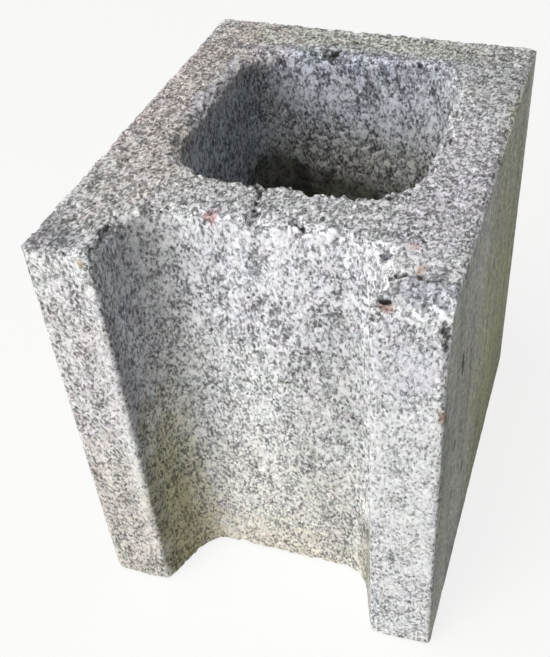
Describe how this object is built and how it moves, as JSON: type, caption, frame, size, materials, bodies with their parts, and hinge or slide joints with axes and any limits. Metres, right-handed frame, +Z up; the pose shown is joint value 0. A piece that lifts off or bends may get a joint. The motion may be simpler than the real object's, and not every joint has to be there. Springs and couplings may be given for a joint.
{
  "type": "concrete block",
  "caption": "Half-length hollow concrete masonry block: a tapered rounded-square through cell, a plain end, and an open end whose ears flank a shallow drafted recess.",
  "frame": {"origin": "middle of the underside, on the floor plane", "axes": "+X across the wall, from outer face to outer face; +Y towards the plain end, away from the ears; +Z up through the cell"},
  "size_m": [0.15, 0.19, 0.19],
  "materials": {
    "concrete": "matte"
  },
  "bodies": {
    "root": {"half_block": "concrete"}
  },
  "joints": []
}
